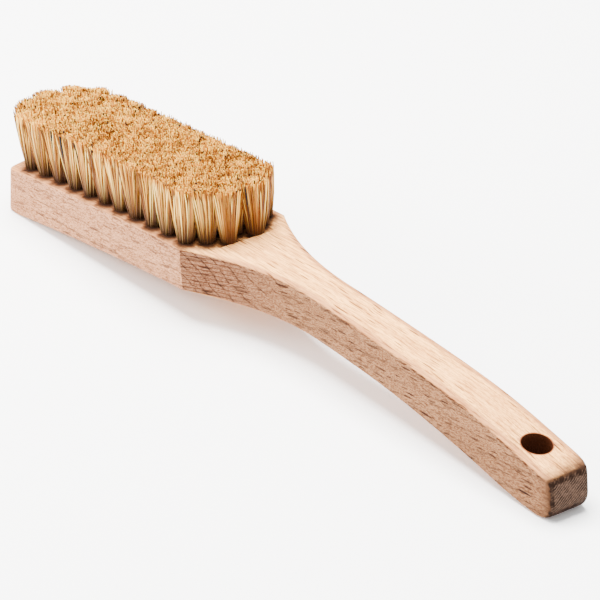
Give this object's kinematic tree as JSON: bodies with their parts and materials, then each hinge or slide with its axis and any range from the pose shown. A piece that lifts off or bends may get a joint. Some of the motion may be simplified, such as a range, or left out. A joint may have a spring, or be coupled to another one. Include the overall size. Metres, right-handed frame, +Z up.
{
  "type": "climbing hold brush",
  "caption": "Wooden brush for cleaning climbing holds: tufts of boar hair in a flat head, on a long bowed handle with a hanging hole.",
  "frame": {"origin": "on the ground under the middle of the bounding box, with the brush lying on its back", "axes": "+Z up, out of the ground; +X from the toe of the head to the end of the handle; +Y across the brush, which is symmetric about its XZ plane"},
  "size_m": [0.2592, 0.0396, 0.0403],
  "materials": {
    "beech": "planed, unvarnished",
    "boar_hair": "coarse natural hair",
    "anchor_wire": "plain flat wire"
  },
  "bodies": {
    "root": {"beech_body": "beech", "anchor_wire_row_1": "anchor_wire", "anchor_wire_row_2": "anchor_wire", "anchor_wire_row_3": "anchor_wire", "anchor_wire_row_4": "anchor_wire", "anchor_wire_row_5": "anchor_wire", "anchor_wire_row_6": "anchor_wire", "anchor_wire_row_7": "anchor_wire", "tuft_row_1_01": "boar_hair", "tuft_row_1_02": "boar_hair", "tuft_row_1_03": "boar_hair", "tuft_row_1_04": "boar_hair", "tuft_row_1_05": "boar_hair", "tuft_row_1_06": "boar_hair", "tuft_row_1_07": "boar_hair", "tuft_row_1_08": "boar_hair", "tuft_row_1_09": "boar_hair", "tuft_row_1_10": "boar_hair", "tuft_row_1_11": "boar_hair", "tufts_row_2_01_02": "boar_hair", "tufts_row_2_03_04": "boar_hair", "tufts_row_2_05_06": "boar_hair", "tufts_row_2_07_08": "boar_hair", "tufts_row_2_09_10": "boar_hair", "tufts_row_2_11_12": "boar_hair", "tufts_row_3_01_02": "boar_hair", "tufts_row_3_03_04": "boar_hair", "tufts_row_3_05_06": "boar_hair", "tufts_row_3_07_08": "boar_hair", "tufts_row_3_09_10": "boar_hair", "tufts_row_3_11_12": "boar_hair", "tufts_row_4_01_02": "boar_hair", "tufts_row_4_03_04": "boar_hair", "tufts_row_4_05_06": "boar_hair", "tufts_row_4_07_08": "boar_hair", "tufts_row_4_09_10": "boar_hair", "tufts_row_4_11_12": "boar_hair", "tufts_row_5_01_02": "boar_hair", "tufts_row_5_03_04": "boar_hair", "tufts_row_5_05_06": "boar_hair", "tufts_row_5_07_08": "boar_hair", "tufts_row_5_09_10": "boar_hair", "tufts_row_5_11_12": "boar_hair", "tufts_row_6_01_02": "boar_hair", "tufts_row_6_03_04": "boar_hair", "tufts_row_6_05_06": "boar_hair", "tufts_row_6_07_08": "boar_hair", "tufts_row_6_09_10": "boar_hair", "tufts_row_6_11_12": "boar_hair", "tuft_row_7_01": "boar_hair", "tuft_row_7_02": "boar_hair", "tuft_row_7_03": "boar_hair", "tuft_row_7_04": "boar_hair", "tuft_row_7_05": "boar_hair", "tuft_row_7_06": "boar_hair", "tuft_row_7_07": "boar_hair", "tuft_row_7_08": "boar_hair", "tuft_row_7_09": "boar_hair", "tuft_row_7_10": "boar_hair", "tuft_row_7_11": "boar_hair"}
  },
  "joints": []
}
